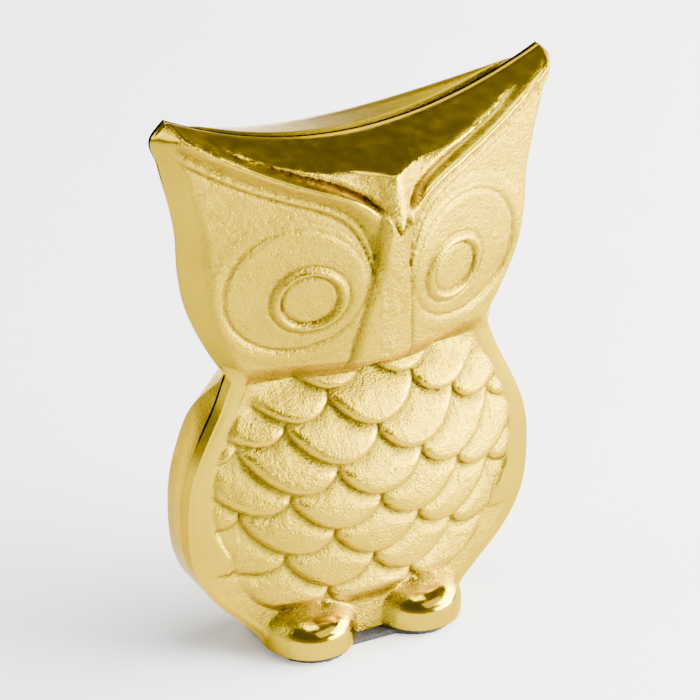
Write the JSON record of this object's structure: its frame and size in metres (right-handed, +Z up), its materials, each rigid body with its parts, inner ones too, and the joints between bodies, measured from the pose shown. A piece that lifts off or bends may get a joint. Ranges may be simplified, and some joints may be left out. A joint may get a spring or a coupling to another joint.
{
  "type": "owl figurine",
  "caption": "Hollow two-part cast owl with sunk round eyes, swept brows, scaled chest and side wings, standing on a felt pad.",
  "frame": {"origin": "on the underside of the felt pad, under the middle of the parting plane between the two castings", "axes": "+Z up through the figure's height, -Y the way the face looks, X across the width"},
  "size_m": [0.086, 0.0383, 0.119],
  "materials": {
    "gold_plate": "gold-plated cast metal, polished edges and grainy as-cast faces",
    "screw_steel": "satin",
    "grey_felt": "dark grey felt"
  },
  "bodies": {
    "root": {"front_shell": "gold_plate", "back_shell": "gold_plate", "base_pad": "grey_felt", "upper_screw": "screw_steel", "lower_screw": "screw_steel", "left_dowel": "screw_steel", "right_dowel": "screw_steel"}
  },
  "joints": []
}
